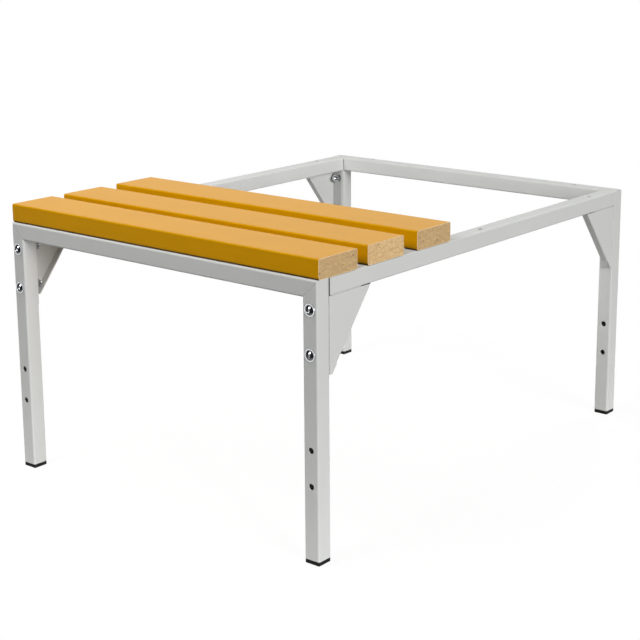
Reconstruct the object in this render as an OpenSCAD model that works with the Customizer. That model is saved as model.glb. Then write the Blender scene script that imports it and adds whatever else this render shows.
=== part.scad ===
// Locker room bench: a bolted square-tube stand that carries a locker at the back
// and three seat slats at the front. X runs along the seat, -Y is the front, Z is up.
// The origin is on the floor, midway between the four feet.

/* [Frame] */
// Width of the frame over the legs
frame_w = 600; // [450:10:1200]
// Depth of the frame from its front face to its back face
frame_d = 800; // [740:10:900]
// Height of the top faces of the rails above the floor
frame_h = 390; // [350:5:450]
// Outside size of the square tube
tube = 25; // [22:1:32]
// Wall thickness of the square tube
tube_wall = 1.5; // [1:0.25:2.5]
// Outer corner radius of the square tube
tube_r = 3; // [2:0.5:4]
// Gap between the end of a side rail and the leg
butt_gap = 0.8; // [0.2:0.1:0.8]

/* [Gussets] */
// Thickness of the folded sheet
gusset_t = 2; // [1.5:0.5:3]
// Length of a gusset along the side rail
gusset_run = 88; // [75:1:90]
// Height of a gusset below the side rail
gusset_drop = 105; // [100:5:130]
// Width of the blunt toe at the bottom of a gusset
gusset_toe = 5; // [4:1:10]
// Width of the folded lip along the sloping edge
gusset_lip = 12; // [8:1:16]
// Length of the sloping edge's lower end that has no lip, measured upright
lip_relief = 12; // [10:1:20]
// Step from the edge of the leg flange to the inner face of the tube
flange_setback = 3; // [0.5:0.5:3]
// Outer radius of the folds
fold_r = 2.5; // [2:0.5:4]
// Set-back of the weld under the side rail from its outer face
weld_setback = 0.7; // [0.3:0.1:0.8]
// Length of the joint under the side rail that the weld leaves open, at the gusset's free end
weld_open = 22; // [10:1:40]

/* [Frame bolts] */
// Drop from the top of the frame to the upper bolt
bolt_drop = 40; // [38:1:46]
// Distance between the two bolts of a leg
bolt_pitch = 60; // [40:5:65]
// Thread diameter of the bolts
bolt_d = 8; // [6:1:8]
// Diameter of the bolt holes
bolt_hole_d = 9; // [8.5:0.5:10]
// Diameter of the flange under the bolt head
head_flange_d = 17.5; // [16:0.5:19]
// Thickness of the flange under the bolt head
head_flange_t = 1.2; // [1:0.1:1.6]
// Diameter of the domed head
head_dome_d = 14; // [13:0.5:15]
// Height of the domed head above its flange
head_dome_h = 3.2; // [2.8:0.1:3.6]
// Width across flats of the hexagon socket
socket_af = 5; // [4:0.5:6]
// Depth of the hexagon socket
socket_depth = 2.6; // [2:0.1:3]
// Outside diameter of the washers
washer_d = 16; // [15:0.5:18]
// Thickness of the washers
washer_t = 1.6; // [1.2:0.2:2]
// Width across flats of the nuts
nut_af = 13; // [12:0.5:14]
// Height of the nuts
nut_h = 6.5; // [6:0.5:7.5]
// Length of thread past the nut
bolt_tail = 4.9; // [3:0.1:7]

/* [Spare leg holes] */
// Diameter of the spare holes in the legs
spare_hole_d = 9; // [7:0.5:10]
// Height of the lower spare hole above the floor
spare_hole_z = 110; // [80:5:120]
// Distance between the two spare holes of a leg
spare_hole_pitch = 50; // [30:5:60]

/* [Locker fixing holes] */
// Diameter of the locker fixing holes in the rails
locker_hole_d = 9; // [7:0.5:10]
// Distance from the back face to the first hole in a side rail
locker_hole_back = 90; // [70:5:120]
// Distance between the two holes of a side rail
locker_hole_pitch = 320; // [280:10:330]
// Distance from the side face to the hole in the rear rail
rear_hole_side = 85; // [60:5:120]

/* [Seat slats] */
// Width of a slat
slat_w = 80; // [72:1:85]
// Thickness of a slat
slat_t = 28; // [22:1:35]
// Radius of the long edges of a slat
slat_r = 3.5; // [2:0.5:8]
// Step from the front face of the frame to the front slat
slat_inset = 3; // [0:0.5:6]
// Step from the side face of the frame to the end of a slat
slat_end_inset = 0; // [0:0.5:5]
// Gap between the front slat and the middle slat
front_slat_gap = 22; // [15:1:30]
// Gap between the middle slat and the rear slat
rear_slat_gap = 31; // [15:1:35]

/* [Slat screws] */
// Shank diameter of the slat screws
screw_d = 5; // [4:0.5:6]
// Diameter of the screw holes in the side rails
screw_hole_d = 5.5; // [5.5:0.5:7]
// Diameter of the screw heads
screw_head_d = 10; // [8:0.5:11]
// Height of the screw heads
screw_head_h = 3; // [2:0.5:4]
// Length of the screws inside the slats
screw_bite = 18; // [12:1:20]
// Distance from a slat's long edge or the end of the rail to the screw
screw_edge = 18; // [15:1:20]

/* [Foot plugs] */
// Thickness of the visible lip of a foot plug
plug_lip = 6.5; // [3:0.5:8]
// Chamfer round the bottom of the lip
plug_chamfer = 1.6; // [0.5:0.1:2]
// Length of the tail inside the leg
plug_tail = 18; // [14:1:24]
// Wall thickness of the tail
plug_wall = 2; // [1.5:0.5:3]
// Depth of the ribs round the tail
rib_depth = 1.2; // [0.8:0.2:1.6]
// Thickness of a rib
rib_t = 1.2; // [0.8:0.2:1.6]
// Number of ribs round the tail
rib_count = 3; // [2:1:3]
// Clearance between the ribs and the tube
plug_clear = 0.2; // [0.1:0.1:0.4]

/* [Hidden] */
$fn = 48;

// Running fit between a thread and what it screws into
thread_fit = 0.05;
// Overlap of a cutting shape past the face that it cuts
past = 1;
// Smallest radius of the tube's inside corners
least_bore_r = 0.3;

coat_grey = [0.78, 0.79, 0.78];
slat_tan = [0.90, 0.70, 0.40];
zinc = [0.80, 0.81, 0.83];
plug_black = [0.09, 0.09, 0.09];

half_w = frame_w / 2;
half_d = frame_d / 2;
// Side rails: middle line across the frame, underside, and length between the legs
rail_x = half_w - tube / 2;
rail_under = frame_h - tube;
side_rail_len = frame_d - 2 * tube - 2 * butt_gap;
// Heights of the bolts, and of the spare holes
bolt_z = [frame_h - bolt_drop, frame_h - bolt_drop - bolt_pitch];
spare_z = [spare_hole_z, spare_hole_z + spare_hole_pitch];
// Length of a bolt under its head
bolt_len = tube + gusset_t + washer_t + nut_h + bolt_tail;
// Distance of each slat's front edge from the front face of the frame
slat_front = [
    slat_inset,
    slat_inset + slat_w + front_slat_gap,
    slat_inset + 2 * slat_w + front_slat_gap + rear_slat_gap
];
slat_len = frame_w - 2 * slat_end_inset;
// Inside width of the tube, and the radius of its inside corners
bore = tube - 2 * tube_wall;
bore_r = max(least_bore_r, tube_r - tube_wall);
// Sloping edge of a gusset: its angle from upright, its length, and the height that has a lip
slope_angle = atan((gusset_run - gusset_toe) / gusset_drop);
slope_len = norm([gusset_run - gusset_toe, gusset_drop]);
lip_height = gusset_drop - lip_relief;

// Distances of a slat's two screws from the front face of the frame
function screw_ys(front) = [
    max(front, tube) + screw_edge,
    front + slat_w - screw_edge
];

// Flat outline of a square with rounded corners, centred on the origin
module rounded_square(size_x, size_y, r) {
    square([size_x - 2 * r, size_y], center = true);
    square([size_x, size_y - 2 * r], center = true);
    for (x = [-1, 1])
        for (y = [-1, 1])
            translate([x * (size_x / 2 - r), y * (size_y / 2 - r)])
                circle(r);
}

// Upright square tube of a given length, standing on the origin
module square_tube(length) {
    linear_extrude(length)
        difference() {
            rounded_square(tube, tube, tube_r);
            rounded_square(bore, bore, bore_r);
        }
}

// Places a piece made for the front right corner at another corner.
// side is -1 for left and 1 for right; end is -1 for front and 1 for rear
module at_corner(side, end) {
    mirror([side < 0 ? 1 : 0, 0, 0])
        mirror([0, end > 0 ? 1 : 0, 0])
            children();
}

// Hole along Y through a leg at height z
module leg_hole(z, d) {
    translate([rail_x, -half_d - past, z])
        rotate([-90, 0, 0])
            cylinder(d = d, h = tube + 2 * past);
}

// Cutting block on the plane of the mitre at the front right corner. The plane falls from the outer
// top corner to the inner corner; the block lies above it, or below it when shifted down by its size
module mitre_block(shift) {
    translate([half_w - tube, -half_d - past, frame_h - tube])
        rotate([0, -45, 0])
            translate([-past, 0, shift])
                cube([tube * sqrt(2) + 2 * past, tube + 2 * past, tube]);
}

// Leg for the front right corner: it stands on its foot plug and is mitred at the top
module leg() {
    difference() {
        translate([rail_x, -half_d + tube / 2, plug_lip])
            square_tube(frame_h - plug_lip);
        mitre_block(0);
        for (z = bolt_z)
            leg_hole(z, bolt_hole_d);
        for (z = spare_z)
            leg_hole(z, spare_hole_d);
    }
}

// Cross rail between the front legs, with a mitre at each end
module cross_rail() {
    difference() {
        translate([-half_w, -half_d + tube / 2, frame_h - tube / 2])
            rotate([0, 90, 0])
                square_tube(frame_w);
        for (side = [0, 1])
            mirror([side, 0, 0])
                mitre_block(-tube);
    }
}

// Upright hole through a rail, from its underside to its top
module rail_hole(x, y, d) {
    translate([x, y, rail_under - past])
        cylinder(d = d, h = tube + 2 * past);
}

module front_rail() {
    color(coat_grey)
        cross_rail();
}

module rear_rail() {
    color(coat_grey)
        difference() {
            mirror([0, 1, 0])
                cross_rail();
            for (side = [-1, 1])
                rail_hole(side * (half_w - rear_hole_side), half_d - tube / 2, locker_hole_d);
        }
}

// Right side rail, with upright holes for the locker and for the slat screws
module side_rail() {
    difference() {
        translate([rail_x, -side_rail_len / 2, frame_h - tube / 2])
            rotate([-90, 0, 0])
                square_tube(side_rail_len);
        for (step = [0, locker_hole_pitch])
            rail_hole(rail_x, half_d - locker_hole_back - step, locker_hole_d);
        for (front = slat_front)
            for (y = screw_ys(front))
                rail_hole(rail_x, y - half_d, screw_hole_d);
    }
}

module right_side_rail() {
    color(coat_grey)
        side_rail();
}

module left_side_rail() {
    color(coat_grey)
        mirror([1, 0, 0])
            side_rail();
}

module front_left_leg() {
    color(coat_grey)
        at_corner(-1, -1)
            leg();
}

module front_right_leg() {
    color(coat_grey)
        at_corner(1, -1)
            leg();
}

module rear_left_leg() {
    color(coat_grey)
        at_corner(-1, 1)
            leg();
}

module rear_right_leg() {
    color(coat_grey)
        at_corner(1, 1)
            leg();
}

// Part of a gusset between two depths below the outer face of the frame. The outline's x runs along
// the rail from the leg, and its y runs up from the underside of the rail
module sheet(from, to) {
    translate([half_w - to, -half_d + tube, rail_under])
        rotate([90, 0, 90])
            linear_extrude(to - from)
                children();
}

// Corner that a fold's outer radius takes away. x and y run from the sharp corner into the sheets
module fold_cut() {
    difference() {
        translate([-past, -past])
            square(fold_r + past);
        translate([fold_r, fold_r])
            circle(fold_r);
    }
}

// Filling of a fold's inner radius
module fold_fill() {
    inner_r = fold_r - gusset_t;
    if (inner_r > 0)
        difference() {
            translate([gusset_t, gusset_t])
                square(inner_r);
            translate([fold_r, fold_r])
                circle(inner_r);
        }
}

// Extrudes a profile up along the fold between the plate and the leg flange
module along_leg_fold() {
    translate([half_w, -half_d + tube, rail_under - gusset_drop])
        mirror([1, 0, 0])
            linear_extrude(gusset_drop)
                children();
}

// Extrudes a profile along the fold between the plate and the lip, past its upper end
module along_slope_fold() {
    translate([half_w, -half_d + tube + gusset_run, rail_under])
        rotate([-slope_angle, 0, 0])
            translate([0, 0, -slope_len])
                rotate([0, 0, 180])
                    linear_extrude(slope_len + gusset_run)
                        children();
}

// Lip along the sloping edge, cut level at the rail above and at the relief below
module gusset_slope_lip() {
    intersection() {
        along_slope_fold() {
            square([gusset_lip, gusset_t]);
            fold_fill();
        }
        sheet(0, gusset_lip)
            translate([0, -lip_height])
                square([gusset_run + past, lip_height]);
    }
}

// Weld that fills the groove between the plate and the rounded corner of the side rail
module gusset_weld() {
    difference() {
        sheet(weld_setback, min(gusset_t, tube_r - weld_setback))
            translate([fold_r, 0])
                square([gusset_run - weld_open - fold_r, tube_r]);
        translate([half_w - tube_r, -half_d, rail_under + tube_r])
            rotate([-90, 0, 0])
                cylinder(r = tube_r, h = tube + gusset_run + past);
    }
}

// Folded sheet gusset for the front right corner
module gusset() {
    outline = [[0, 0], [gusset_run, 0], [gusset_toe, -gusset_drop], [0, -gusset_drop]];
    difference() {
        union() {
            sheet(0, gusset_t)
                polygon(outline);
            sheet(0, tube - flange_setback)
                translate([0, -gusset_drop])
                    square([gusset_t, gusset_drop]);
            along_leg_fold()
                fold_fill();
            gusset_slope_lip();
        }
        along_leg_fold()
            fold_cut();
        intersection() {
            along_slope_fold()
                fold_cut();
            sheet(-past, fold_r)
                translate([0, -lip_height])
                    square([gusset_run + past, lip_height + past]);
        }
        for (z = bolt_z)
            leg_hole_in_flange(z);
    }
    gusset_weld();
}

// Bolt hole through the leg flange of the gusset
module leg_hole_in_flange(z) {
    translate([rail_x, -half_d + tube - past, z])
        rotate([-90, 0, 0])
            cylinder(d = bolt_hole_d, h = gusset_t + 2 * past);
}

module front_left_gusset() {
    color(coat_grey)
        at_corner(-1, -1)
            gusset();
}

module front_right_gusset() {
    color(coat_grey)
        at_corner(1, -1)
            gusset();
}

module rear_left_gusset() {
    color(coat_grey)
        at_corner(-1, 1)
            gusset();
}

module rear_right_gusset() {
    color(coat_grey)
        at_corner(1, 1)
            gusset();
}

// Slat whose front edge lies a given distance behind the front face of the frame
module slat(front) {
    color(slat_tan)
        difference() {
            translate([-slat_len / 2, front + slat_w / 2 - half_d, frame_h + slat_t / 2])
                rotate([90, 0, 90])
                    linear_extrude(slat_len)
                        rounded_square(slat_w, slat_t, slat_r);
            for (side = [-1, 1])
                for (y = screw_ys(front))
                    translate([side * rail_x, y - half_d, frame_h - past])
                        cylinder(d = screw_d + 2 * thread_fit, h = screw_bite + 2 * past);
        }
}

module front_slat() {
    slat(slat_front[0]);
}

module middle_slat() {
    slat(slat_front[1]);
}

module rear_slat() {
    slat(slat_front[2]);
}

// Plug for the front right leg: chamfered lip, hollow tail and ribs that grip the tube
module foot_plug() {
    rib_size = bore - 2 * plug_clear;
    tail_size = rib_size - 2 * rib_depth;
    rib_step = plug_tail / (rib_count + 1);
    chamfer_w = plug_chamfer * sqrt(2);
    color(plug_black)
        translate([rail_x, -half_d + tube / 2, 0]) {
            difference() {
                linear_extrude(plug_lip)
                    rounded_square(tube, tube, tube_r);
                for (turn = [0 : 90 : 270])
                    rotate([0, 0, turn])
                        translate([tube / 2, 0, 0])
                            rotate([0, 45, 0])
                                cube([chamfer_w, tube + past, chamfer_w], center = true);
            }
            translate([0, 0, plug_lip])
                difference() {
                    union() {
                        linear_extrude(plug_tail)
                            rounded_square(tail_size, tail_size, bore_r);
                        for (n = [1 : rib_count])
                            translate([0, 0, n * rib_step - rib_t / 2])
                                linear_extrude(rib_t)
                                    rounded_square(rib_size, rib_size, bore_r);
                    }
                    linear_extrude(plug_tail + past)
                        square(tail_size - 2 * plug_wall, center = true);
                }
        }
}

module front_left_foot_plug() {
    at_corner(-1, -1)
        foot_plug();
}

module front_right_foot_plug() {
    at_corner(1, -1)
        foot_plug();
}

module rear_left_foot_plug() {
    at_corner(-1, 1)
        foot_plug();
}

module rear_right_foot_plug() {
    at_corner(1, 1)
        foot_plug();
}

// Repeats a fastener at both bolt holes of all four legs. It is made along +Z, with its seat on the
// origin, and lies at a given depth behind the outer face of the leg
module at_every_bolt(depth) {
    for (side = [-1, 1])
        for (end = [-1, 1])
            for (z = bolt_z)
                at_corner(side, end)
                    translate([rail_x, -half_d + depth, z])
                        rotate([-90, 0, 0])
                            children();
}

// Flanged button head below the origin, with a hexagon socket, and shank above it
module bolt() {
    dome_r = head_dome_d / 2;
    ball_r = (dome_r * dome_r + head_dome_h * head_dome_h) / (2 * head_dome_h);
    head_h = head_flange_t + head_dome_h;
    tip_h = bolt_d / 8;
    difference() {
        union() {
            translate([0, 0, -head_flange_t])
                cylinder(d = head_flange_d, h = head_flange_t);
            intersection() {
                translate([0, 0, ball_r - head_h])
                    sphere(ball_r);
                translate([0, 0, -head_h])
                    cylinder(d = head_flange_d, h = head_dome_h);
            }
        }
        translate([0, 0, -head_h - past])
            cylinder(d = socket_af / cos(30), h = socket_depth + past, $fn = 6);
    }
    cylinder(d = bolt_d, h = bolt_len - tip_h);
    translate([0, 0, bolt_len - tip_h])
        cylinder(d1 = bolt_d, d2 = bolt_d - 2 * tip_h, h = tip_h);
}

module frame_bolts() {
    color(zinc)
        at_every_bolt(0)
            bolt();
}

module frame_washers() {
    color(zinc)
        at_every_bolt(tube + gusset_t)
            difference() {
                cylinder(d = washer_d, h = washer_t);
                translate([0, 0, -past])
                    cylinder(d = bolt_hole_d, h = washer_t + 2 * past);
            }
}

// Hexagon nut with both ends chamfered at 30 degrees
module nut() {
    corner_r = nut_af / 2 / cos(30);
    drop = (corner_r - nut_af / 2) * tan(30);
    difference() {
        intersection() {
            cylinder(r = corner_r, h = nut_h, $fn = 6);
            rotate_extrude()
                polygon([
                    [0, 0], [nut_af / 2, 0], [corner_r, drop],
                    [corner_r, nut_h - drop], [nut_af / 2, nut_h], [0, nut_h]
                ]);
        }
        translate([0, 0, -past])
            cylinder(d = bolt_d + 2 * thread_fit, h = nut_h + 2 * past);
    }
}

module frame_nuts() {
    color(zinc)
        at_every_bolt(tube + gusset_t + washer_t)
            nut();
}

// Pan-head wood screw, head down, with its seat on the origin
module slat_screw() {
    head_r = screw_head_d / 2;
    ball_r = (head_r * head_r + screw_head_h * screw_head_h) / (2 * screw_head_h);
    shank = tube + screw_bite;
    point = screw_d;
    slot_w = screw_d / 5;
    difference() {
        intersection() {
            translate([0, 0, ball_r - screw_head_h])
                sphere(ball_r);
            translate([0, 0, -screw_head_h])
                cylinder(r = head_r + past, h = screw_head_h);
        }
        for (turn = [0, 90])
            rotate([0, 0, turn])
                translate([0, 0, -screw_head_h])
                    cube([screw_d, slot_w, screw_head_h], center = true);
    }
    cylinder(d = screw_d, h = shank - point);
    translate([0, 0, shank - point])
        cylinder(d1 = screw_d, d2 = slot_w, h = point);
}

module slat_screws() {
    color(zinc)
        for (side = [-1, 1])
            for (front = slat_front)
                for (y = screw_ys(front))
                    translate([side * rail_x, y - half_d, rail_under])
                        slat_screw();
}

front_left_leg();
front_right_leg();
rear_left_leg();
rear_right_leg();
front_rail();
rear_rail();
left_side_rail();
right_side_rail();
front_left_gusset();
front_right_gusset();
rear_left_gusset();
rear_right_gusset();
front_slat();
middle_slat();
rear_slat();
front_left_foot_plug();
front_right_foot_plug();
rear_left_foot_plug();
rear_right_foot_plug();
frame_bolts();
frame_washers();
frame_nuts();
slat_screws();
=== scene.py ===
# %% [markdown]
# # A locker stand with a slatted seat
#
# This lesson dresses a locker stand: a frame of square steel tube on four legs, with three seat
# slats at the front and bare rails behind them for a locker. The solids come from the CAD model,
# which says where each piece is and how large. Here each piece gets the surface that a maker would
# give it: powder coat on the steel, a foil wrap on the chipboard slats, zinc on the fasteners.
#
# First the imported model is loaded.

# %% Load the CAD model
import math

import bmesh
import bpy
from mathutils import Matrix, Vector


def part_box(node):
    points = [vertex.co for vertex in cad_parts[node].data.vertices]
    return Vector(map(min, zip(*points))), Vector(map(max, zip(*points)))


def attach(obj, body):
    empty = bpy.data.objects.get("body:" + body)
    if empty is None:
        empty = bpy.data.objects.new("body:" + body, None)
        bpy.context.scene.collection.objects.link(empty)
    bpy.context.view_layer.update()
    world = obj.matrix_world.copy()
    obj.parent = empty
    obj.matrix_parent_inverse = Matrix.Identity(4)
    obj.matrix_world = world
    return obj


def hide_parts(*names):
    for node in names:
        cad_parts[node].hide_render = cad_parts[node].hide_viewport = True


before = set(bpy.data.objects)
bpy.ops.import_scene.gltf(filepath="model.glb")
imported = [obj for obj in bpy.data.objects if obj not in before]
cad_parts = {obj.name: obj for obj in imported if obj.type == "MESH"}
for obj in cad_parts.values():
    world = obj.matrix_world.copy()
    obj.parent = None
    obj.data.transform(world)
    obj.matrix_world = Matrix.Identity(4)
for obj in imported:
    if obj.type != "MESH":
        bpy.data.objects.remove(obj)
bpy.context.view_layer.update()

MM = 0.001

# %% [markdown]
# ## Small helpers
#
# Every material and every Geometry Nodes tree is a graph, so one function adds a node, sets its
# settings and joins its inputs. An input that is given a socket is linked, and any other value is
# written on the input itself. Two steps come back in most graphs, a sum and a change of range, so
# each of them gets a short name.

# %% Helpers for nodes
NODE_WIDTH, NODE_HEIGHT, NODES_IN_A_ROW = 220, 260, 8


def fill(tree, node, inputs):
    """Links each input that is given a socket, and writes any other value on the input."""
    for key, value in inputs.items():
        if isinstance(value, bpy.types.NodeSocket):
            tree.links.new(value, node.inputs[key])
        else:
            node.inputs[key].default_value = value


def add(tree, kind, inputs=None, **settings):
    """Adds a node of a kind, with its settings and inputs, and lays the nodes out in rows."""
    node = tree.nodes.new(kind)
    row, column = divmod(len(tree.nodes), NODES_IN_A_ROW)
    node.location = (NODE_WIDTH * column, -NODE_HEIGHT * row)
    for name, value in settings.items():
        setattr(node, name, value)
    fill(tree, node, inputs or {})
    return node


def reckon(tree, operation, *values):
    """One step of arithmetic on sockets and numbers."""
    return add(tree, "ShaderNodeMath", dict(enumerate(values)), operation=operation).outputs[0]


def remap(tree, value, source, target):
    """Turns the range source to the range target. What lies outside stays at the range's ends."""
    return add(tree, "ShaderNodeMapRange", {
        "Value": value, "From Min": source[0], "From Max": source[1],
        "To Min": target[0], "To Max": target[1]}).outputs["Result"]


print("nodes are laid out in rows of", NODES_IN_A_ROW)

# %% [markdown]
# ## Colours
#
# A paint chart gives colours as sRGB hex values, but a shader adds and multiplies light, so it
# needs linear values. One function turns the first to the second.

# %% Helpers for colours
def paint(hexed):
    """Linear light of an sRGB hex colour, with full alpha."""
    channels = [int(hexed[i:i + 2], 16) / 255 for i in (1, 3, 5)]
    linear = [c / 12.92 if c <= 0.04045 else ((c + 0.055) / 1.055) ** 2.4 for c in channels]
    return (*linear, 1.0)


def shades(tree, factor, first, second):
    """A colour between two hex colours, as the factor says."""
    return add(tree, "ShaderNodeMix", {
        "Factor": factor, "A": paint(first), "B": paint(second)},
        data_type="RGBA").outputs["Result"]


def multiply(tree, colour, by):
    """A colour times a grey value or another colour."""
    return add(tree, "ShaderNodeMix", {"Factor": 1.0, "A": colour, "B": by},
               data_type="RGBA", blend_type="MULTIPLY").outputs["Result"]


print("light grey CACBC9 in linear light:", [round(c, 3) for c in paint("#CACBC9")])

# %% [markdown]
# ## Patterns and new materials
#
# Paint, foil and plastic all have some fine unevenness, and a noise draws it, in the colour or in
# a bump. A scanned texture could do it too, but it repeats and has one scale. The noise reads
# Object coordinates. These are the metres of the piece itself, so the waves have their real
# length and the pattern stays on the piece.

# %% Helpers for patterns and materials
def noise(tree, place, wave, detail):
    """A cloudy grey value, with waves of about that length."""
    return add(tree, "ShaderNodeTexNoise", {
        "Vector": place, "Scale": 1 / wave, "Detail": detail}).outputs["Fac"]


def bump(tree, height, strength, depth):
    """Tilts a surface's normals as a relief of that depth would."""
    return add(tree, "ShaderNodeBump", {
        "Height": height, "Strength": strength, "Distance": depth}).outputs["Normal"]


def finish_named(name):
    """A new material, its tree, its shader and its Object coordinates."""
    material = bpy.data.materials.new(name)
    material.use_nodes = True
    tree = material.node_tree
    place = add(tree, "ShaderNodeTexCoord").outputs["Object"]
    return material, tree, tree.nodes["Principled BSDF"], place


print("a noise of 1 mm has the scale", round(1 / MM))

# %% [markdown]
# ## Powder coat
#
# The frame is steel tube with a light grey polyester powder coat, sprayed dry and baked. Baking
# leaves a skin with a low sheen, so the roughness is high and the mirror part small. It has a faint
# orange peel: shallow waves one or two millimetres long, drawn as a bump, which is enough for
# something a few hundredths of a millimetre deep. A second, wider noise moves the grey by a shade,
# as the coat is never equally thick.
#
# Ambient occlusion measures which share of the space round a point is free. A flat face has all of
# it and a groove little, so the low end darkens the colour. This is painted shade, which deepens
# the joints between two pieces and the narrow gaps. The foil on the slats gets the same painted
# shade along its seams and under them, so a function adds it.

# %% Painted shade in narrow gaps
SHADE_RAYS, DARKEST_PAINTED_SHADE = 8, 0.06


def shaded_in_gaps(tree, colour, depth, full_at, gone_at):
    """Paints shade on a colour where little of the space within a depth is free.

    The painted shade is full where the free share is full_at or less, and gone from gone_at on.
    """
    free = add(tree, "ShaderNodeAmbientOcclusion", {"Distance": depth}, samples=SHADE_RAYS)
    # clean is the share of the colour that the painted shade leaves, low in grooves and joints.
    clean = remap(tree, free.outputs["AO"], (full_at, gone_at), (DARKEST_PAINTED_SHADE, 1.0))
    return multiply(tree, colour, clean)


# Full painted shade leaves this share of the colour.
print("full soil leaves", DARKEST_PAINTED_SHADE, "of the colour")

# %% Powder coat material
powder_coat, tree, skin, place = finish_named("satin powder coat on steel")
peel = noise(tree, place, wave=1.6 * MM, detail=1.0)
drift = noise(tree, place, wave=90 * MM, detail=2.0)
grey = shades(tree, drift, "#CACBC9", "#CFD0CE")
# The grey gets painted shade in the joints between pieces and in narrow gaps.
fill(tree, skin, {
    "Base Color": shaded_in_gaps(tree, grey, depth=8 * MM, full_at=0.27, gone_at=0.6),
    "Normal": bump(tree, peel, strength=0.25, depth=0.05 * MM),
    "Roughness": 0.6, "IOR": 1.5, "Specular IOR Level": 0.1})
print("made", powder_coat.name)

# %% [markdown]
# ## Foil wrap
#
# The slats are chipboard wrapped in a printed foil with a beech tone, pressed round the long edges.
# A foil is satin plastic, so its colour is even, with a soft print of grain that runs along the
# slat: darker hairs some 12 cm long and a millimetre wide, over broad clouds. A scanned print would
# repeat on all three slats, so two noises draw it. The one for the hairs has its coordinates
# stretched along X. The sheen is tinted yellow, or the white lamps would grey the colour.

# %% Foil material
foil, tree, skin, place = finish_named("golden beech foil")
STRETCH = 50
along = add(tree, "ShaderNodeMapping", {"Vector": place, "Scale": (1 / STRETCH, 1.0, 1.0)})
cloud = noise(tree, place, wave=60 * MM, detail=3.0)
hairs = noise(tree, along.outputs["Vector"], wave=2.5 * MM, detail=2.0)
tone = shades(tree, cloud, "#C98C00", "#D29500")
grain = remap(tree, hairs, (0.35, 0.65), (0.975, 1.015))
printed = multiply(tree, tone, grain)
# The printed foil gets painted shade along its seams, low in the gaps and in a line under each
# slat.
fill(tree, skin, {
    "Base Color": shaded_in_gaps(tree, printed, depth=14 * MM, full_at=0.3, gone_at=0.95),
    "Normal": bump(tree, hairs, strength=0.1, depth=0.04 * MM),
    "Roughness": 0.42, "IOR": 1.46, "Specular Tint": paint("#FFF000")})
print("made", foil.name)

# %% [markdown]
# ## Sawn chipboard
#
# The slats are cut to length after wrapping, so their ends show the core: chips of wood a few
# millimetres long, pressed flat with glue, some pale and some dark, with a few open pits. Smooth
# Voronoi cells, stretched along the slat's width, are such chips with their edges torn soft. Their
# random colour picks a tone. A second set of cells, with hard edges, is so sparse that only a few
# pits remain. The pits have no depth: their dark brown is painted shade, the shade inside a hole.

# %% Chips and pits
chipboard, tree, skin, place = finish_named("sawn chipboard")
CHIP, CHIP_SQUEEZE = 2.1 * MM, 0.6
TEAR_WAVE, TEAR = 5 * MM, 3 * MM
flat = add(tree, "ShaderNodeMapping", {"Vector": place, "Scale": (1.0, CHIP_SQUEEZE, 1.0)})
bent = add(tree, "ShaderNodeTexNoise", {
    "Vector": place, "Scale": 1 / TEAR_WAVE, "Detail": 3.0})
shift = add(tree, "ShaderNodeVectorMath", {
    0: bent.outputs["Color"], "Scale": TEAR}, operation="SCALE")
torn = add(tree, "ShaderNodeVectorMath", {
    0: flat.outputs["Vector"], 1: shift.outputs["Vector"]}, operation="ADD").outputs["Vector"]
chips = add(tree, "ShaderNodeTexVoronoi", {
    "Vector": torn, "Scale": 1 / CHIP, "Smoothness": 0.7}, feature="SMOOTH_F1")
pick = add(tree, "ShaderNodeSeparateColor", {"Color": chips.outputs["Color"]})
tones = add(tree, "ShaderNodeValToRGB", {"Fac": pick.outputs["Red"]})
CHIP_TONES = ["#B5956A", "#BD9D70", "#C2A274", "#C7A87A", "#CFB284"]
ramp = tones.color_ramp.elements
ramp[0].color, ramp[1].color = paint(CHIP_TONES[0]), paint(CHIP_TONES[-1])
for i, hexed in enumerate(CHIP_TONES[1:-1], 1):
    ramp.new(i / (len(CHIP_TONES) - 1)).color = paint(hexed)

# The pits are dark spots of painted shade, with no depth of their own.
PIT_CELL, PIT_FROM = 2.2 * MM, 0.972
cells = add(tree, "ShaderNodeTexVoronoi", {"Vector": torn, "Scale": 1 / PIT_CELL})
rare = add(tree, "ShaderNodeSeparateColor", {"Color": cells.outputs["Color"]})
shaded_pit_mask = reckon(tree, "GREATER_THAN", rare.outputs["Blue"], PIT_FROM)
near = remap(tree, cells.outputs["Distance"], (0.25, 0.5), (0.85, 0.0))
faced = add(tree, "ShaderNodeMix", {
    "Factor": reckon(tree, "MULTIPLY", shaded_pit_mask, near),
    "A": tones.outputs["Color"], "B": paint("#4A341C")}, data_type="RGBA").outputs["Result"]
print("chips of", round(CHIP / MM, 1), "mm in", len(CHIP_TONES), "tones")

# %% [markdown]
# ## The cut ends
#
# No two slats come from the same board. The slat tree, further on, stores a number on each one, the
# attribute "board", and the tone of the chips follows it. Round the core runs the cut edge of the
# foil and of the paper under it, a pale line.

# %% Chipboard and cut edge materials
board = add(tree, "ShaderNodeAttribute", attribute_name="board")
paler = remap(tree, board.outputs["Fac"], (0.0, 1.0), (0.88, 1.28))
fill(tree, skin, {
    "Base Color": multiply(tree, faced, paler),
    "Normal": bump(tree, pick.outputs["Green"], strength=0.3, depth=0.2 * MM),
    "Roughness": 0.85, "IOR": 1.45})

cut_foil, tree, skin, place = finish_named("cut edge of the foil")
fray = noise(tree, place, wave=1.5 * MM, detail=2.0)
fill(tree, skin, {"Base Color": shades(tree, fray, "#E0BC86", "#F4DBB2"), "Roughness": 0.7})
print("made", chipboard.name, "and", cut_foil.name)

# %% [markdown]
# ## Zinc plate and moulded polyethylene
#
# The bolts, washers, nuts and screws are steel with a bright zinc plate, thin enough to mirror
# softly. A noise makes it duller here and brighter there, as handling does. The plugs in the feet
# are moulded black polyethylene, which is waxy and dull, with a fine grain from the mould.

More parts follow.
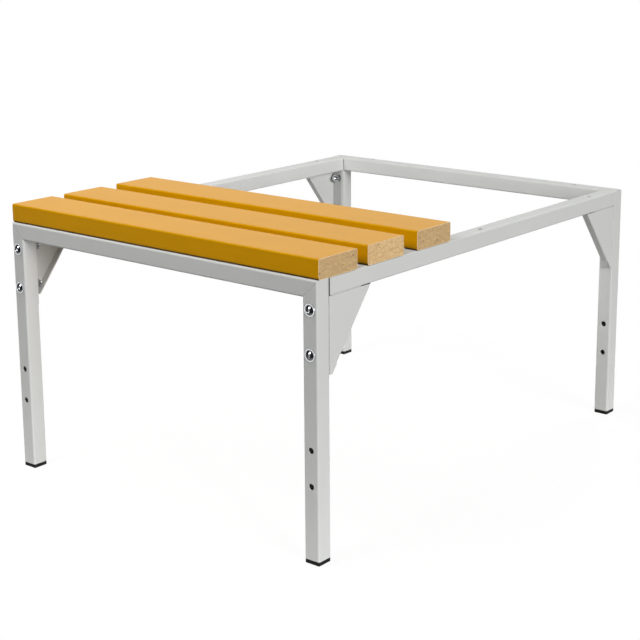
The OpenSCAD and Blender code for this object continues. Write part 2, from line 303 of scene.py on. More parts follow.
# %% Zinc and plastic materials
zinc, tree, skin, place = finish_named("bright zinc plate")
haze = noise(tree, place, wave=2 * MM, detail=3.0)
fill(tree, skin, {
    "Base Color": paint("#DADDE0"), "Metallic": 1.0,
    "Roughness": remap(tree, haze, (0.0, 1.0), (0.06, 0.22))})

polyethylene, tree, skin, place = finish_named("moulded black polyethylene")
grit = noise(tree, place, wave=0.8 * MM, detail=2.0)
fill(tree, skin, {
    "Base Color": paint("#161616"), "Roughness": 0.5, "IOR": 1.51,
    "Normal": bump(tree, grit, strength=0.3, depth=0.05 * MM)})
print("made", zinc.name, "and", polyethylene.name)

# %% [markdown]
# ## Tubes and gussets
#
# The tubes and folded gussets have their true shape in the CAD model, with rounded corners, mitres
# and drilled holes, so nothing is built again. What a solid lacks is the soft edge that a coat of
# powder leaves on every cut: it bridges the last third of a millimetre. So each one is copied, its
# loose triangles are merged to clean faces, a narrow bevel runs along all sharp edges, and the flat
# faces keep flat normals. The copy ends as a plain mesh without modifiers, so that what is
# exported is what is seen.

# %% From modifiers to a plain mesh
CREASE = math.radians(35)


def placed(name, data):
    """A new object of a mesh, a lamp or a camera, in the scene."""
    made = bpy.data.objects.new(name, data)
    bpy.context.scene.collection.objects.link(made)
    return made


def evaluated_mesh(raw):
    """The mesh that an object's modifiers make."""
    ready = bpy.context.evaluated_depsgraph_get()
    return bpy.data.meshes.new_from_object(raw.evaluated_get(ready), depsgraph=ready)


def settled(raw):
    """Turns an object with modifiers to a plain mesh with smooth curves and flat faces."""
    raw.modifiers.new("flat", "WEIGHTED_NORMAL").keep_sharp = True
    raw.data.shade_smooth()
    raw.data.set_sharp_from_angle(angle=CREASE)
    mesh = evaluated_mesh(raw)
    raw.modifiers.clear()
    raw.data = mesh
    mesh.name = raw.name
    return raw


print("edges sharper than", round(math.degrees(CREASE)), "degrees stay sharp")

# %% Copy, merge and soften
LOOSE, FLAT = 0.001 * MM, math.radians(0.5)
BEVEL_FROM, BEVEL_STEPS = math.radians(40), 2


def soft_edged(name, node, material, edge):
    """A copy of a CAD node in clean faces, with a narrow bevel along its sharp edges."""
    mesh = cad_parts[node].data.copy()
    form = bmesh.new()
    form.from_mesh(mesh)
    bmesh.ops.remove_doubles(form, verts=form.verts, dist=LOOSE)
    bmesh.ops.dissolve_limit(form, angle_limit=FLAT, verts=form.verts, edges=form.edges)
    form.to_mesh(mesh)
    form.free()
    mesh.materials.clear()
    mesh.materials.append(material)
    raw = placed(name, mesh)
    bevel = raw.modifiers.new("edge", "BEVEL")
    bevel.width, bevel.segments = edge, BEVEL_STEPS
    bevel.limit_method, bevel.angle_limit = "ANGLE", BEVEL_FROM
    bevel.use_clamp_overlap = True
    return settled(raw)


print("a bevel has", BEVEL_STEPS, "steps")

# %% [markdown]
# ## The coated steel
#
# The legs and cross rails get a wider bevel than the rest, as a welder eases the ends of a mitre.
# Where two such bevels meet, they leave the fine groove that shows on the real corner.

# %% Coated steel pieces
COATED_EDGE, MITRED_EDGE = 0.3 * MM, 0.5 * MM
corners = [end + "_" + side for end in ("front", "rear") for side in ("left", "right")]
legs = [corner + "_leg" for corner in corners]
gussets = [corner + "_gusset" for corner in corners]
cross_rails, side_rails = ["front_rail", "rear_rail"], ["left_side_rail", "right_side_rail"]
for node in legs + gussets + cross_rails + side_rails:
    edge = MITRED_EDGE if node in legs + cross_rails else COATED_EDGE
    piece = soft_edged(node + "_coated", node, powder_coat, edge)
    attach(piece, "root")
    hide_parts(node)
    print(piece.name, len(piece.data.polygons), "faces")

# %% [markdown]
# ## Foot plugs
#
# Each leg stands on a plug of moulded plastic. Only its lip shows under the tube. A mould leaves
# every edge round, so the same copy and bevel are used, as wide as on a mitre.

# %% Foot plugs
MOULDED_EDGE = 0.5 * MM
for corner in corners:
    node = corner + "_foot_plug"
    piece = soft_edged(node + "_moulded", node, polyethylene, MOULDED_EDGE)
    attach(piece, "root")
    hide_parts(node)
    print(piece.name, len(piece.data.polygons), "faces")

# %% [markdown]
# ## Seat slats
#
# The three slats are one product cut three times, so a Geometry Nodes tree makes one and sets it at
# three points. The sizes and the seed are inputs of the tree, so another slat needs no new nodes.
#
# The profile is a rectangle with rounded corners, and its two upper corners have a radius of their
# own. Drawn in by the thickness of the foil, the same profile is the inside of the foil.

# %% Inputs and profile of a slat
def inputs_of(tree, sockets):
    """Adds the named inputs and one output, and returns the sockets that the nodes join."""
    for name, kind in sockets:
        tree.interface.new_socket(name=name, in_out="INPUT", socket_type="NodeSocket" + kind)
    tree.interface.new_socket(
        name="Geometry", in_out="OUTPUT", socket_type="NodeSocketGeometry")
    return tree.nodes.new("NodeGroupInput").outputs, tree.nodes.new("NodeGroupOutput").inputs


slat_tree = bpy.data.node_groups.new("wrapped slats", "GeometryNodeTree")
given, result = inputs_of(slat_tree, [
    ("Geometry", "Geometry"), ("Length", "Float"), ("Width", "Float"), ("Thickness", "Float"),
    ("Top Radius", "Float"), ("Under Radius", "Float"), ("Foil", "Float"), ("Torn", "Float"),
    ("Foil Material", "Material"), ("Core Material", "Material"), ("Cut Material", "Material"),
    ("Seed", "Int")])
UPPER_CORNERS, CORNER_STEPS = 2, 7


def less(tree, size, cut, times):
    """size minus a number of times cut."""
    return reckon(tree, "SUBTRACT", size, reckon(tree, "MULTIPLY", cut, float(times)))


def profile(tree, inset_times):
    """The slat's outline, drawn in by a number of foil thicknesses."""
    outline = add(tree, "GeometryNodeCurvePrimitiveQuadrilateral", {
        "Width": less(tree, given["Width"], given["Foil"], 2 * inset_times),
        "Height": less(tree, given["Thickness"], given["Foil"], 2 * inset_times)})
    corner = add(tree, "GeometryNodeInputIndex")
    upper = add(tree, "FunctionNodeCompare", {
        2: corner.outputs[0], 3: UPPER_CORNERS}, data_type="INT", operation="LESS_THAN")
    radius = add(tree, "GeometryNodeSwitch", {
        "Switch": upper.outputs[0],
        "False": less(tree, given["Under Radius"], given["Foil"], inset_times),
        "True": less(tree, given["Top Radius"], given["Foil"], inset_times)}, input_type="FLOAT")
    return add(tree, "GeometryNodeFilletCurve", {
        0: outline.outputs[0], "Radius": radius.outputs[0], "Count": CORNER_STEPS},
        mode="POLY").outputs[0]


print("slat tree:", len(given) - 1, "inputs")

# %% [markdown]
# ## From profile to slat
#
# A bar is a filled profile stretched to a length. Two profiles filled together give a thin ring,
# which is the foil. The core fills the inside, with a hair of play so that no two faces fall
# together, and it ends a little short of the foil, as the saw tears the chips out. A swept curve
# can be capped as a plate but not as a ring, so the bar is extruded from its filled end instead.

# %% Foil ring and core
WELD, CORE_INSET = 1e-6, 1.02


def joined(tree, parts):
    """Several geometries as one."""
    join = add(tree, "GeometryNodeJoinGeometry")
    for part in parts:
        tree.links.new(part, join.inputs[0])
    return join.outputs[0]


def bar(tree, outlines, start, end):
    """Fills outlines and stretches them to a closed bar between two heights."""
    flat = add(tree, "GeometryNodeFillCurve", {0: joined(tree, outlines)}, mode="TRIANGLES")
    low = add(tree, "ShaderNodeCombineXYZ", {"Z": start})
    first = add(tree, "GeometryNodeTransform", {
        0: flat.outputs[0], "Translation": low.outputs[0]}).outputs[0]
    drawn = add(tree, "GeometryNodeExtrudeMesh", {
        "Mesh": first, "Offset Scale": reckon(tree, "SUBTRACT", end, start), "Individual": False})
    base = add(tree, "GeometryNodeFlipFaces", {0: first})
    whole = joined(tree, [drawn.outputs["Mesh"], base.outputs[0]])
    return add(tree, "GeometryNodeMergeByDistance", {0: whole, "Distance": WELD}).outputs[0]


half = reckon(slat_tree, "MULTIPLY", given["Length"], 0.5)
back = reckon(slat_tree, "MULTIPLY", half, -1.0)
wrap = bar(slat_tree, [profile(slat_tree, 0), profile(slat_tree, 1)], back, half)
core = bar(slat_tree, [profile(slat_tree, CORE_INSET)],
           reckon(slat_tree, "ADD", back, given["Torn"]),
           reckon(slat_tree, "SUBTRACT", half, given["Torn"]))
marked = add(slat_tree, "GeometryNodeStoreNamedAttribute", {
    "Geometry": core, "Name": "core", "Value": True}, data_type="BOOLEAN", domain="FACE")
slat = joined(slat_tree, [wrap, marked.outputs[0]])
print("slat tree:", len(slat_tree.nodes), "nodes up to one slat")

# %% [markdown]
# ## Three slats and their materials
#
# The slat is turned to lie along X and set at the points. The instances get their random board
# number while there are still three of them, and only then become one mesh. The faces that look
# along X are the cut edge of the foil, and the faces marked as core are chipboard.

# %% Instances and materials
LOOKS_ALONG = 0.9


def covered(tree, geometry, material, where=True):
    """Sets a material on a geometry, or on a part of it."""
    return add(tree, "GeometryNodeSetMaterial", {
        "Geometry": geometry, "Selection": where, "Material": material}).outputs[0]


lying = add(slat_tree, "GeometryNodeTransform", {
    0: slat, "Rotation": (math.pi / 2, 0.0, math.pi / 2)})
laid = add(slat_tree, "GeometryNodeInstanceOnPoints", {
    "Points": given["Geometry"], "Instance": lying.outputs[0]})
board = add(slat_tree, "FunctionNodeRandomValue", {
    2: 0.0, 3: 1.0, "Seed": given["Seed"]}, data_type="FLOAT")
told = add(slat_tree, "GeometryNodeStoreNamedAttribute", {
    "Geometry": laid.outputs[0], "Name": "board", "Value": board.outputs[1]},
    data_type="FLOAT", domain="INSTANCE")
real = add(slat_tree, "GeometryNodeRealizeInstances", {0: told.outputs[0]})
is_core = add(slat_tree, "GeometryNodeInputNamedAttribute", {"Name": "core"}, data_type="BOOLEAN")
normal = add(slat_tree, "GeometryNodeInputNormal")
facing = add(slat_tree, "ShaderNodeSeparateXYZ", {"Vector": normal.outputs[0]})
is_end = add(slat_tree, "FunctionNodeCompare", {
    0: reckon(slat_tree, "ABSOLUTE", facing.outputs["X"]), 1: LOOKS_ALONG},
    data_type="FLOAT", operation="GREATER_THAN")
wrapped = covered(slat_tree, real.outputs[0], given["Foil Material"])
ended = covered(slat_tree, wrapped, given["Cut Material"], is_end.outputs[0])
cored = covered(slat_tree, ended, given["Core Material"], is_core.outputs[0])
slat_tree.links.new(cored, result[0])
print("slat tree:", len(slat_tree.nodes), "nodes")

# %% [markdown]
# ## Running the tree
#
# A tree runs as a modifier on three loose points, the middles of the slats in the CAD model. Each
# input is set by its identifier before the tree first runs. What it makes is kept as a plain mesh,
# because an export drops what is still an instance.

# %% Run the slat tree
def grown(name, tree, points, values):
    """Runs a tree on loose points and keeps what it makes as a plain mesh."""
    mesh = bpy.data.meshes.new(name)
    mesh.from_pydata(points, [], [])
    raw = placed(name, mesh)
    modifier = raw.modifiers.new(name, "NODES")
    modifier.node_group = tree
    for socket in tree.interface.items_tree:
        if socket.in_out == "INPUT" and socket.name in values:
            modifier[socket.identifier] = values[socket.name]
    raw.data = evaluated_mesh(raw)
    raw.modifiers.clear()
    return settled(raw)


slat_nodes = ["front_slat", "middle_slat", "rear_slat"]
boxes = [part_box(node) for node in slat_nodes]
size = boxes[0][1] - boxes[0][0]
seat = grown("seat_slats", slat_tree, [(low + high) / 2 for low, high in boxes], {
    "Length": size.x, "Width": size.y, "Thickness": size.z,
    "Top Radius": 2.5 * MM, "Under Radius": 3.5 * MM, "Foil": 0.8 * MM, "Torn": 0.2 * MM,
    "Foil Material": foil, "Core Material": chipboard, "Cut Material": cut_foil, "Seed": 33})
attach(seat, "root")
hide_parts(*slat_nodes)
print("slat size mm:", [round(v / MM, 1) for v in size], "faces:", len(seat.data.polygons))

# %% [markdown]
# ## Turned and hexagonal shapes
#
# A bolt, a nut, a washer and a screw are all rings of points round an axis. They could be cut with
# Booleans from cylinders, but rings give clean faces all round. A ring here has a height, a round
# radius and a cut. A hexagon takes away what lies outside its flats, which also draws the curved
# chamfer where a cone meets the flats of a nut. A cross keeps only its four wings, as in the recess
# of a screw. A thread lets the radius fall and rise once on each turn of its pitch.

# %% Rings round an axis
PITCH, SEGMENTS = 1.25 * MM, 48
SIXTH_TURN, HALF_FLAT = math.pi / 3, math.pi / 6
TINY = 1e-6


def reach(ring, angle):
    """How far a ring's point is from the axis. A ring is (height, radius, cut, size of cut)."""
    height, radius, cut, size = ring
    if cut == "hexagon":
        off_flat = (angle + HALF_FLAT) % SIXTH_TURN - HALF_FLAT
        return min(radius, size / math.cos(off_flat))
    if cut == "cross":
        across, along = abs(math.cos(angle)), abs(math.sin(angle))
        wings = ((across, along), (along, across))
        return max(min(radius / max(a, TINY), size / max(b, TINY)) for a, b in wings)
    if cut == "thread":
        climb = (height / PITCH - angle / (2 * math.pi)) % 1.0
        return radius - size * abs(2 * climb - 1)
    return radius


def round_ring(height, radius):
    """A ring without a cut."""
    return (height, radius, None, 0.0)


def ball_radius(width, height):
    """Radius of the ball of which a dome of that half width and height is the cap."""
    return (width ** 2 + height ** 2) / (2 * height)


def dome_ring(top, ball, radius):
    """A ring on a dome, from the height of its top and the radius of its ball."""
    return round_ring(top - ball + math.sqrt(ball ** 2 - radius ** 2), radius)


print("pitch", round(PITCH / MM, 2), "mm,", SEGMENTS, "points to a ring")

# %% From rings to a solid
def turned(name, rings, closed=False):
    """Joins rings to a solid round the axis. closed joins the last ring to the first."""
    form = bmesh.new()
    spokes = [2 * math.pi * i / SEGMENTS for i in range(SEGMENTS)]
    loops = []
    for ring in rings:
        ends = [(math.cos(a), math.sin(a), reach(ring, a)) for a in spokes]
        loops.append([form.verts.new((x * r, y * r, ring[0])) for x, y, r in ends])
    pairs = list(zip(loops, loops[1:])) + ([(loops[-1], loops[0])] if closed else [])
    for lower, upper in pairs:
        for i in range(SEGMENTS):
            j = (i + 1) % SEGMENTS
            form.faces.new((lower[i], lower[j], upper[j], upper[i]))
    if not closed:
        form.faces.new(reversed(loops[0]))
        form.faces.new(loops[-1])
    bmesh.ops.recalc_face_normals(form, faces=form.faces)
    mesh = bpy.data.meshes.new(name)
    form.to_mesh(mesh)
    form.free()
    print(name, len(mesh.polygons), "faces")
    return placed(name, mesh)


# %% [markdown]
# ## The bolt
#
# It is an M8 button head with a flange and a hexagon socket. The rings start at the bottom of the
# socket, climb out over the dome and the flange, and run down the shank to its tip. +Z points out
# of the head, and the seat is at zero. Only the end of the shank comes out of the nut, so the
# thread is cut there: a V groove of the M8 pitch, which climbs with the angle.

# %% Bolt
SHANK, SHANK_R, TIP_R = 40 * MM, 4 * MM, 3 * MM
FLANGE_R, FLANGE_T, FLANGE_EASE = 8.75 * MM, 1.2 * MM, 0.2 * MM
DOME_R, DOME_H = 7 * MM, 3.2 * MM
SOCKET, SOCKET_DEPTH = 2.5 * MM, 2.6 * MM
DRILL_TIP, DRILL_TIP_R = 0.6 * MM, 0.3 * MM
MOUTH_EASE, MOUTH_EASE_R = 0.25 * MM, 0.1 * MM
FILLET, RIM_EASE = 0.05 * MM, 0.15 * MM
THREAD_LENGTH, THREAD_DEPTH, STEPS_A_PITCH = 13 * MM, 0.7 * MM, 6

head_top = FLANGE_T + DOME_H
socket_floor = head_top - SOCKET_DEPTH
ball = ball_radius(DOME_R, DOME_H)
mouth_r = SOCKET / math.cos(HALF_FLAT)
mouth = dome_ring(head_top, ball, mouth_r)[0]
bolt_rings = [
    round_ring(socket_floor - DRILL_TIP, DRILL_TIP_R),
    (socket_floor, 2 * SOCKET, "hexagon", SOCKET),
    (mouth - MOUTH_EASE, 2 * SOCKET, "hexagon", SOCKET),
    round_ring(mouth, mouth_r + MOUTH_EASE_R)]
bolt_rings += [dome_ring(head_top, ball, r * MM) for r in (3.2, 4.2, 5.2, 6.1, 6.8)]
bolt_rings += [round_ring(height, radius) for height, radius in (
    (FLANGE_T + FILLET, DOME_R), (FLANGE_T, DOME_R + FILLET),
    (FLANGE_T, FLANGE_R - RIM_EASE), (FLANGE_T - FLANGE_EASE, FLANGE_R),
    (FLANGE_EASE, FLANGE_R), (0.0, FLANGE_R - FLANGE_EASE), (0.0, SHANK_R))]

thread_start = THREAD_LENGTH - SHANK
steps = round(THREAD_LENGTH / PITCH * STEPS_A_PITCH) - STEPS_A_PITCH + 1
for i in range(steps):
    height = thread_start - i * PITCH / STEPS_A_PITCH
    bolt_rings.append((height, SHANK_R, "thread", THREAD_DEPTH if i else 0.0))
bolt_rings.append(round_ring(-SHANK, TIP_R))
bolt = turned("bolt pattern", bolt_rings)

# %% [markdown]
# ## Washer, nut and screw
#
# The washer is a flat ring with its stamped edges eased. The nut is a hexagon whose corners are
# turned off at both ends. The screws under the slats have a domed pan head with a cross recess, and
# a shank that ends in a point inside the wood.

# %% Washer and nut
WASHER_HOLE_R, WASHER_R, WASHER_T, STAMPED = 4.5 * MM, 8 * MM, 1.6 * MM, 0.2 * MM
washer = turned("washer pattern", [round_ring(height, radius) for height, radius in (
    (0.0, WASHER_HOLE_R), (0.0, WASHER_R - STAMPED), (STAMPED, WASHER_R),
    (WASHER_T - STAMPED, WASHER_R), (WASHER_T, WASHER_R - STAMPED),
    (WASHER_T, WASHER_HOLE_R))], closed=True)

NUT_FLAT, NUT_H = 6.5 * MM, 6.5 * MM
NUT_MOUTH_R, NUT_BORE_R, NUT_MOUTH_DEPTH = 4.5 * MM, 4.05 * MM, 0.5 * MM
corner_r = NUT_FLAT / math.cos(HALF_FLAT)
middle_r = (NUT_FLAT + corner_r) / 2
chamfer = (corner_r - NUT_FLAT) * math.tan(HALF_FLAT)
nut_rings = [(height, radius, "hexagon", NUT_FLAT) for height, radius in (
    (0.0, NUT_FLAT), (chamfer / 2, middle_r), (chamfer, corner_r),
    (NUT_H - chamfer, corner_r), (NUT_H - chamfer / 2, middle_r), (NUT_H, NUT_FLAT))]
nut_rings += [round_ring(height, radius) for height, radius in (
    (NUT_H, NUT_MOUTH_R), (NUT_H - NUT_MOUTH_DEPTH, NUT_BORE_R),
    (NUT_MOUTH_DEPTH, NUT_BORE_R), (0.0, NUT_MOUTH_R))]
nut = turned("nut pattern", nut_rings, closed=True)

# %% Screw
PAN_R, PAN_H, PAN_RIM, PAN_UNDER_R = 5 * MM, 3 * MM, 0.25 * MM, 4.8 * MM
SCREW_R, SCREW_LENGTH, POINT_LENGTH, POINT_R = 2.5 * MM, 43 * MM, 5 * MM, 0.5 * MM
RECESS_FLOOR = (PAN_H - 2.2 * MM, 0.8 * MM, "cross", 0.35 * MM)
RECESS_MOUTH = (PAN_H - 0.3 * MM, 2.6 * MM, "cross", 0.5 * MM)
ball = ball_radius(PAN_R, PAN_H)
screw_rings = [RECESS_FLOOR, RECESS_MOUTH]
screw_rings += [dome_ring(PAN_H, ball, r * MM) for r in (2.8, 3.4, 4.0, 4.5, 4.85)]
screw_rings += [round_ring(height, radius) for height, radius in (
    (PAN_RIM, PAN_R), (0.0, PAN_UNDER_R), (0.0, SCREW_R),
    (POINT_LENGTH - SCREW_LENGTH, SCREW_R), (-SCREW_LENGTH, POINT_R))]
screw = turned("screw pattern", screw_rings)

# %% [markdown]
# ## Setting fasteners in their holes
#
# All eight bolts are alike, and so are their washers, their nuts and the twelve screws under the
# slats. One tree sets any of them: it takes points at the holes and the way that the heads face,
# moves in by a set-back, and gives every fastener its own random turn, as a spanner leaves it.

# %% The fastener tree
fastener_tree = bpy.data.node_groups.new("fasteners in holes", "GeometryNodeTree")
given, result = inputs_of(fastener_tree, [
    ("Geometry", "Geometry"), ("Fastener", "Object"), ("Facing", "Vector"), ("Set-back", "Float"),
    ("Seed", "Int"), ("Material", "Material")])
shape = add(fastener_tree, "GeometryNodeObjectInfo", {"Object": given["Fastener"]})
facing = add(fastener_tree, "FunctionNodeAlignRotationToVector", {
    "Vector": given["Facing"]}, axis="Z")
inward = reckon(fastener_tree, "MULTIPLY", given["Set-back"], -1.0)
sunk = add(fastener_tree, "ShaderNodeVectorMath", {
    0: given["Facing"], "Scale": inward}, operation="SCALE")
seated = add(fastener_tree, "GeometryNodeSetPosition", {
    "Geometry": given["Geometry"], "Offset": sunk.outputs["Vector"]})
turn = add(fastener_tree, "FunctionNodeRandomValue", {
    2: 0.0, 3: 2 * math.pi, "Seed": given["Seed"]}, data_type="FLOAT")
spin = add(fastener_tree, "FunctionNodeAxisAngleToRotation", {
    "Axis": (0.0, 0.0, 1.0), "Angle": turn.outputs[1]})
both = add(fastener_tree, "FunctionNodeRotateRotation", {
    0: facing.outputs[0], 1: spin.outputs[0]}, rotation_space="LOCAL")
instances = add(fastener_tree, "GeometryNodeInstanceOnPoints", {
    "Points": seated.outputs[0], "Instance": shape.outputs["Geometry"],
    "Rotation": both.outputs[0]})
real = add(fastener_tree, "GeometryNodeRealizeInstances", {0: instances.outputs[0]})
plated = covered(fastener_tree, real.outputs[0], given["Material"])
fastener_tree.links.new(plated, result[0])
print("fastener tree:", len(fastener_tree.nodes), "nodes")

# %% [markdown]
# ## The sets on the legs and under the slats
#
# The bolts sit on the middle of the tube, 40 and 100 mm below the top of the rails. A head lies on
# the outer face of its leg. The washer and the nut lie inside, on the flange of the gusset: 25 mm
# of tube and 2 mm of sheet further in. Each slat has two screws at each end, which come up through
# the side rail, 18 mm from the slat's edges or, at the front, from the end of the rail. Heads at
# the front and at the back face opposite ways, so each end is a set of its own, and the two sets
# are joined to one piece.

# %% Bolts, washers and nuts
def fastened(name, node, pattern, set_back, sets):
    """Grows each set of (points, facing, seed) and joins the sets to one piece."""
    grown_sets = [grown(name, fastener_tree, points, {
        "Fastener": pattern, "Facing": way, "Set-back": set_back, "Seed": seed,
        "Material": zinc}) for points, way, seed in sets]
    bpy.ops.object.select_all(action="DESELECT")
    for part in grown_sets:
        part.select_set(True)
    bpy.context.view_layer.objects.active = grown_sets[0]
    bpy.ops.object.join()
    piece = grown_sets[0]
    piece.name = name
    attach(piece, "root")
    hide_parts(node)
    print(name, len(piece.data.polygons), "faces")


TUBE, SHEET = 25 * MM, 2 * MM
BOLT_DROPS, FRAME_SEED = (40 * MM, 100 * MM), 31
leg_low, leg_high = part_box("front_right_leg")
leg_x, face_y, top_z = (leg_low.x + leg_high.x) / 2, -leg_low.y, leg_high.z
washer_in = TUBE + SHEET + WASHER_T
for name, pattern, node, set_back in (
        ("frame_bolts_zinc", bolt, "frame_bolts", 0.0),
        ("frame_washers_zinc", washer, "frame_washers", washer_in),
        ("frame_nuts_zinc", nut, "frame_nuts", washer_in + NUT_H)):
    sets = []
    for end in (-1, 1):
        holes = [(side * leg_x, end * face_y, top_z - drop)
                 for side in (-1, 1) for drop in BOLT_DROPS]
        sets.append((holes, (0.0, float(end), 0.0), FRAME_SEED + end))
    fastened(name, node, pattern, set_back, sets)

# %% Screws under the slats
SCREW_EDGE, SCREW_SEED = 18 * MM, 3
screw_ys = []
for slat_low, slat_high in boxes:
    screw_ys += [max(slat_low.y, leg_high.y) + SCREW_EDGE, slat_high.y - SCREW_EDGE]
rail_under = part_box("right_side_rail")[0].z
holes = [(side * leg_x, y, rail_under) for side in (-1, 1) for y in screw_ys]
fastened("slat_screws_zinc", "slat_screws", screw, 0.0, [(holes, (0.0, 0.0, -1.0), SCREW_SEED)])

for pattern in (bolt, washer, nut, screw):
    bpy.data.objects.remove(pattern)

# %% [markdown]
# ## Floor and background
#
# The stand is shown on a white sheet in a white studio. The sheet reaches some 23 cm beyond the
# stand and throws light up at the legs, which are brightest near their feet. The room behind it is
# as white, so no edge shows. The sheet takes the light like a pale grey card, and to the camera
# most of its brightness is its own, so that it stays white and still keeps a soft shadow. The zinc
# mirrors it dim: a small round head looks like metal only if it has something dark to mirror, and a
# photographer lays black card there for that.

# %% Floor
FLOOR_X, FLOOR_Y, FLOOR_Z = 0.52, 0.64, -0.1 * MM
WHITE_LEVEL, CARD_LEVEL = 1.075, 0.06
WHITE_SHARE, CARD_SHARE = 0.85, 0.8
floor_mesh = bpy.data.meshes.new("floor")
floor_mesh.from_pydata([(x * FLOOR_X, y * FLOOR_Y, FLOOR_Z)
                        for x, y in ((-1, -1), (1, -1), (1, 1), (-1, 1))], [], [(0, 1, 2, 3)])
floor = placed("floor", floor_mesh)

studio_floor = bpy.data.materials.new("pale studio floor")
studio_floor.use_nodes = True
tree = studio_floor.node_tree
tree.nodes.clear()
rays = add(tree, "ShaderNodeLightPath").outputs
matt = add(tree, "ShaderNodeBsdfDiffuse", {"Color": paint("#D2D2D2")})
white = add(tree, "ShaderNodeEmission", {"Strength": WHITE_LEVEL})
card = add(tree, "ShaderNodeEmission", {"Strength": CARD_LEVEL})
looked_at = reckon(tree, "MAXIMUM", rays["Is Camera Ray"], rays["Is Transmission Ray"])
seen = add(tree, "ShaderNodeMixShader", {
    0: reckon(tree, "MULTIPLY", looked_at, WHITE_SHARE), 1: matt.outputs[0], 2: white.outputs[0]})
blend = add(tree, "ShaderNodeMixShader", {
    0: reckon(tree, "MULTIPLY", rays["Is Glossy Ray"], CARD_SHARE),
    1: seen.outputs[0], 2: card.outputs[0]})
add(tree, "ShaderNodeOutputMaterial", {"Surface": blend.outputs[0]})
floor_mesh.materials.append(studio_floor)
print("floor is", 2 * FLOOR_X, "by", 2 * FLOOR_Y, "m")

# %% [markdown]
# ## The room that the zinc mirrors
#
# Bright metal shows its surroundings more than its own colour. A room that is white all round would
# make it look like plaster, so shiny surfaces see a dim room with two white parts: the backdrop
# behind the stand, which is dimmer toward the right, and the far part of the paper to the front
# left. The matt light of the room is one even, low level, and the camera sees plain white. Each
# part follows the direction in the room, so it stays where it is when the camera moves.

# %% What mirrors see
PAPER_WAY = Vector((-0.62, -0.75, -0.24)).normalized()
world = bpy.data.worlds.new("studio")
bpy.context.scene.world = world
world.use_nodes = True
tree = world.node_tree
tree.nodes.clear()
toward = add(tree, "ShaderNodeTexCoord").outputs["Generated"]
axes = add(tree, "ShaderNodeSeparateXYZ", {"Vector": toward})
backdrop = remap(tree, axes.outputs["Y"], (0.0, 0.5), (0.03, 1.0))
dimmer = remap(tree, axes.outputs["X"], (0.0, 0.6), (1.0, 0.3))
behind = reckon(tree, "MULTIPLY", backdrop, dimmer)
near_paper = add(tree, "ShaderNodeVectorMath", {0: toward, 1: PAPER_WAY}, operation="DOT_PRODUCT")
paper = remap(tree, near_paper.outputs["Value"], (0.9, 0.97), (0.0, 1.0))
mirrored = reckon(tree, "MAXIMUM", behind, paper)
print("world:", len(tree.nodes), "nodes up to what mirrors see")

# %% World
MATT_LEVEL, WHITE_ROOM = 0.02, 1.0


def light_of(strength):
    """White light of the room at a level."""
    return add(tree, "ShaderNodeBackground", {
        "Strength": strength, "Color": paint("#FFFFFF")}).outputs[0]


rays = add(tree, "ShaderNodeLightPath").outputs
room = add(tree, "ShaderNodeMixShader", {
    0: rays["Is Glossy Ray"], 1: light_of(MATT_LEVEL), 2: light_of(mirrored)})
looked_at = reckon(tree, "MAXIMUM", rays["Is Camera Ray"], rays["Is Transmission Ray"])
sky = add(tree, "ShaderNodeMixShader", {
    0: looked_at, 1: room.outputs[0], 2: light_of(WHITE_ROOM)})
add(tree, "ShaderNodeOutputWorld", {"Surface": sky.outputs[0]})
print("world:", len(tree.nodes), "nodes")

# %% [markdown]
# ## Five softboxes
#
# The key softbox stands far out on the right, so all faces that look to the right are evenly
# bright. A weaker one high in front gives the front faces their darker shade. One hangs near above
# the front edge, a little to the left. It lights the tops, reaches the insides of the far rails and
# draws the bright line along the rail under the seat. It is so near that every bolt would mirror it
# as a white blot, so mirrors don't see it. The last two stand behind and on the left, so that those
# sides have light too when the stand is walked round. The left one is hidden from mirrors as well,
# or it would glare along the slats. Each one's power follows from the light that it should give a
# face turned to it, where 1 shows a colour as it is written.

# %% Lamps
MIDDLE = Vector((0.0, 0.0, 0.25))


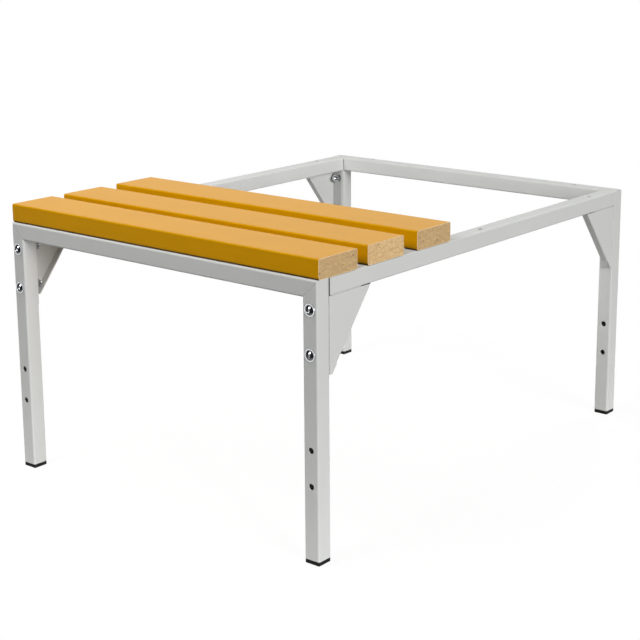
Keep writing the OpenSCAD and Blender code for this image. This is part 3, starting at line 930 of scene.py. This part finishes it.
def softbox(name, place, size, level, in_mirrors=True):
    """A square lamp, aimed at the middle of the stand, which gives it light at a level."""
    way = Vector(place) - MIDDLE
    lamp = bpy.data.lights.new(name, "AREA")
    lamp.shape, lamp.size = "SQUARE", size
    lamp.energy = 4 * math.pi * way.length_squared * level
    box = placed(name, lamp)
    box.location = place
    box.visible_glossy = in_mirrors
    box.rotation_euler = way.to_track_quat("Z", "Y").to_euler()
    print(name, round(lamp.energy), "W at", [round(v, 2) for v in box.location])


softbox("key softbox", (7.44, -2.0, 2.25), size=3.6, level=0.73)
softbox("fill softbox", (-1.3, -6.6, 4.5), size=3.0, level=0.22)
softbox("top softbox", (-0.45, -0.6, 1.75), size=1.5, level=0.51, in_mirrors=False)
softbox("rear softbox", (-0.3, 6.4, 2.0), size=3.0, level=0.38)
softbox("left softbox", (-6.4, 1.6, 2.2), size=3.0, level=0.32, in_mirrors=False)

# %% [markdown]
# ## Camera
#
# The picture is taken from the front right corner with a long lens, a little above the seat. The
# lens and the place were worked out from where the corners of the frame fall in the picture,
# because by eye a near camera with a short lens is easily taken for a far one with a long lens.

# %% Camera and colour
SENSOR, FRAME_PX, FAR = 36, 640, 50
EYE = Vector((1463.2, -1803.1, 846.5)) * MM


def aim_camera(spot, yaw, pitch, roll, lens_px, rise_px):
    """A camera at a spot. Its turns are in degrees, its lens and shift in pixels of the frame."""
    camera = bpy.data.cameras.new("camera")
    camera.sensor_width = SENSOR
    camera.lens = SENSOR * lens_px / FRAME_PX
    camera.shift_y = -rise_px / FRAME_PX
    camera.clip_end = FAR
    view = placed("camera", camera)
    yaw, pitch, roll = (math.radians(a) for a in (yaw, pitch, roll))
    ahead = Vector((-math.sin(yaw) * math.cos(pitch),
                    math.cos(yaw) * math.cos(pitch), -math.sin(pitch)))
    right = Vector((math.cos(yaw), math.sin(yaw), 0))
    up = right.cross(ahead)
    across = right * math.cos(roll) + up * math.sin(roll)
    up = up * math.cos(roll) - right * math.sin(roll)
    turn = Matrix((across, up, -ahead)).transposed().to_4x4()
    view.matrix_world = Matrix.Translation(spot) @ turn
    bpy.context.scene.camera = view
    return camera


camera = aim_camera(EYE, yaw=39.53, pitch=12.59, roll=-0.43, lens_px=1485.8, rise_px=77)
bpy.context.scene.view_settings.view_transform = "Standard"
print("lens", round(camera.lens, 1), "mm")
